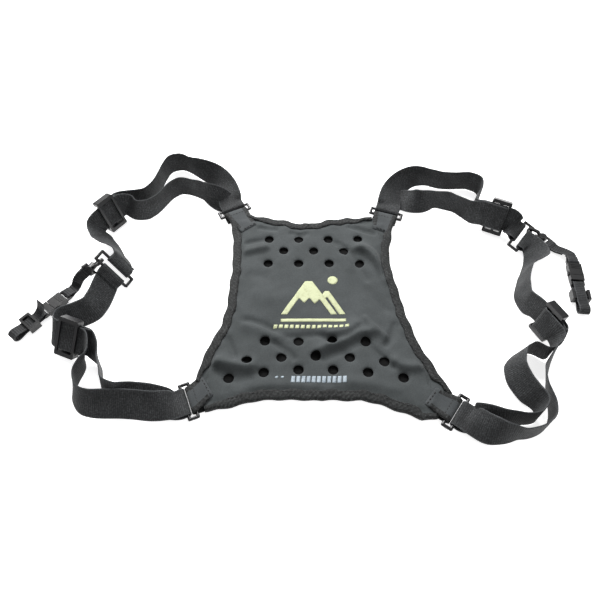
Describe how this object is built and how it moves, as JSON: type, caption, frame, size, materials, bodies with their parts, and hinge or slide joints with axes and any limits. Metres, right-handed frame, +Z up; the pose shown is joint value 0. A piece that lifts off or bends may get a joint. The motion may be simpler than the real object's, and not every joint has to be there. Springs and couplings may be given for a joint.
{
  "type": "binocular harness",
  "caption": "Vented back yoke of a chest harness for binoculars, laid flat: padded panel, looped elastic straps with sliders, front rings, snap hooks and quick-release optic connectors.",
  "frame": {"origin": "middle of the yoke panel on its back face, which lies flat on the table", "axes": "+Z is up, out of the front of the yoke; +X runs to the right across the shoulders; +Y runs towards the neck edge"},
  "size_m": [0.5483, 0.3298, 0.0378],
  "materials": {
    "panel_nylon": "smooth woven nylon",
    "pad_foam": "soft foam",
    "back_mesh": "open spacer mesh",
    "binding_tape": "ribbed binding tape",
    "tab_nylon": "smooth woven nylon",
    "strap_webbing": "ribbed elastic webbing",
    "narrow_webbing": "ribbed narrow webbing",
    "ring_plastic": "satin",
    "slider_plastic": "satin",
    "hook_plastic": "satin",
    "buckle_plastic": "satin"
  },
  "bodies": {
    "panel": {"front_shell": "panel_nylon", "foam_core": "pad_foam", "back_mesh": "back_mesh", "edge_binding_top": "binding_tape", "edge_binding_bottom": "binding_tape", "edge_binding_left": "binding_tape", "edge_binding_right": "binding_tape", "corner_tab_upper_left": "tab_nylon", "corner_tab_lower_left": "tab_nylon", "corner_tab_upper_right": "tab_nylon", "corner_tab_lower_right": "tab_nylon"},
    "side_left": {"corner_ring_upper_left": "ring_plastic", "corner_fold_upper_left": "tab_nylon", "shoulder_strap_left": "strap_webbing", "corner_ring_lower_left": "ring_plastic", "corner_fold_lower_left": "tab_nylon", "underarm_strap_left": "strap_webbing", "front_ring_left": "ring_plastic"},
    "side_right": {"corner_ring_upper_right": "ring_plastic", "corner_fold_upper_right": "tab_nylon", "shoulder_strap_right": "strap_webbing", "corner_ring_lower_right": "ring_plastic", "corner_fold_lower_right": "tab_nylon", "underarm_strap_right": "strap_webbing", "front_ring_right": "ring_plastic"},
    "slider_upper_left": {"strap_slider_upper_left": "slider_plastic"},
    "slider_lower_left": {"strap_slider_lower_left": "slider_plastic"},
    "slider_upper_right": {"strap_slider_upper_right": "slider_plastic"},
    "slider_lower_right": {"strap_slider_lower_right": "slider_plastic"},
    "hook_left": {"snap_hook_left": "hook_plastic"},
    "gate_left": {"hook_gate_left": "hook_plastic"},
    "clip_left": {"web_clip_left": "hook_plastic"},
    "band_left": {"connector_band_left": "narrow_webbing", "buckle_socket_left": "buckle_plastic"},
    "plug_left": {"buckle_plug_left": "buckle_plastic", "optic_web_left": "narrow_webbing"},
    "optic_slider_left": {"optic_slider_left": "buckle_plastic"},
    "hook_right": {"snap_hook_right": "hook_plastic"},
    "gate_right": {"hook_gate_right": "hook_plastic"},
    "clip_right": {"web_clip_right": "hook_plastic"},
    "band_right": {"connector_band_right": "narrow_webbing", "buckle_socket_right": "buckle_plastic"},
    "plug_right": {"buckle_plug_right": "buckle_plastic", "optic_web_right": "narrow_webbing"},
    "optic_slider_right": {"optic_slider_right": "buckle_plastic"}
  },
  "joints": [
    {"name": "strap_fold_left", "type": "hinge", "parent": "panel", "child": "side_left", "pos_m": [-0.065, 0.126, 0.0036], "axis": [0.1245, 0.9922, 0], "range_deg": [0, 90]},
    {"name": "strap_fold_right", "type": "hinge", "parent": "panel", "child": "side_right", "pos_m": [0.061, 0.12, 0.0036], "axis": [0.167, -0.986, 0], "range_deg": [0, 90]},
    {"name": "slider_upper_left_adjust", "type": "slide", "parent": "side_left", "child": "slider_upper_left", "axis": [-0.6, -0.8, 0], "range_m": [-0.002, 0.003]},
    {"name": "slider_lower_left_adjust", "type": "slide", "parent": "side_left", "child": "slider_lower_left", "axis": [-0.9292, 0.3697, 0], "range_m": [-0.003, 0.003]},
    {"name": "slider_upper_right_adjust", "type": "slide", "parent": "side_right", "child": "slider_upper_right", "axis": [0.9023, -0.4311, 0], "range_m": [-0.003, 0.003]},
    {"name": "slider_lower_right_adjust", "type": "slide", "parent": "side_right", "child": "slider_lower_right", "axis": [-0.4512, 0.8924, 0], "range_m": [-0.003, 0.003]},
    {"name": "hook_swing_left", "type": "hinge", "parent": "side_left", "child": "hook_left", "pos_m": [-0.20397, 0.02895, 0.02885], "axis": [-0.5971, 0.3019, 0.7431], "range_deg": [0, 8]},
    {"name": "hook_gate_left", "type": "hinge", "parent": "hook_left", "child": "gate_left", "pos_m": [-0.20936, 0.0267, 0.02544], "axis": [-0.5971, 0.3019, 0.7431], "range_deg": [0, 20], "stiffness_Nm_per_rad": 0.0004, "springref_deg": -5.73},
    {"name": "clip_pivot_left", "type": "hinge", "parent": "hook_left", "child": "clip_left", "pos_m": [-0.21361, 0.03085, 0.02033], "axis": [-0.3064, -0.9421, 0.1366], "range_deg": [-50, 0]},
    {"name": "band_swing_left", "type": "hinge", "parent": "clip_left", "child": "band_left", "pos_m": [-0.22057, 0.02886, 0.01555], "axis": [-0.5971, 0.3019, 0.7431], "range_deg": [0, 8]},
    {"name": "buckle_release_left", "type": "slide", "parent": "band_left", "child": "plug_left", "axis": [-0.6222, -0.7828, 0], "range_m": [0, 0.016]},
    {"name": "optic_slider_adjust_left", "type": "slide", "parent": "plug_left", "child": "optic_slider_left", "axis": [-0.6222, -0.7828, 0], "range_m": [-0.002, 0.003]},
    {"name": "hook_swing_right", "type": "hinge", "parent": "side_right", "child": "hook_right", "pos_m": [0.22889, 0.08839, 0.00669], "axis": [0.6247, 0.7809, 0], "range_deg": [-60, 0]},
    {"name": "hook_gate_right", "type": "hinge", "parent": "hook_right", "child": "gate_right", "pos_m": [0.2335, 0.0847, 0.00339], "axis": [0.6247, 0.7809, 0], "range_deg": [0, 20], "stiffness_Nm_per_rad": 0.0004, "springref_deg": -5.73},
    {"name": "clip_pivot_right", "type": "hinge", "parent": "hook_right", "child": "clip_right", "pos_m": [0.23904, 0.08027, 0.00669], "axis": [0, 0, -1], "range_deg": [-60, 15]},
    {"name": "band_swing_right", "type": "hinge", "parent": "clip_right", "child": "band_right", "pos_m": [0.24411, 0.07408, 0.00334], "axis": [0.7734, 0.6339, 0], "range_deg": [-60, 0]},
    {"name": "buckle_release_right", "type": "slide", "parent": "band_right", "child": "plug_right", "axis": [-0.0995, -0.995, 0], "range_m": [0, 0.016]},
    {"name": "optic_slider_adjust_right", "type": "slide", "parent": "plug_right", "child": "optic_slider_right", "axis": [-0.0995, -0.995, 0], "range_m": [-0.002, 0.003]}
  ]
}
